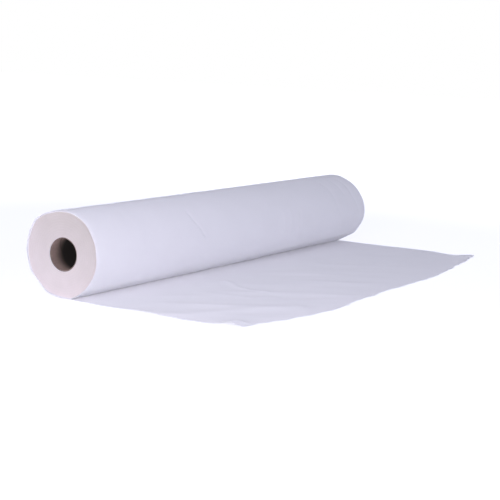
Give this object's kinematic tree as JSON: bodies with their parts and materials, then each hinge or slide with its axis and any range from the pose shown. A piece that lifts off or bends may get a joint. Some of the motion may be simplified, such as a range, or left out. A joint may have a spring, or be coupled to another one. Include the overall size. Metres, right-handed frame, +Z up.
{
  "type": "exam table paper roll",
  "caption": "Wide roll of crepe exam table paper on a cardboard core, lying on its side with a short torn end of the web drawn out flat from under it.",
  "frame": {"origin": "on the surface that the roll lies on, at the middle of the flat spot under the axis", "axes": "+X along the roll's axis, +Z up, the loose end of the web runs out towards -Y"},
  "size_m": [0.5345, 0.2494, 0.0797],
  "materials": {
    "crepe_paper": "white crepe paper, matt",
    "cardboard": "brown spirally wound cardboard, matt"
  },
  "bodies": {
    "root": {"paper": "crepe_paper", "core": "cardboard"}
  },
  "joints": []
}
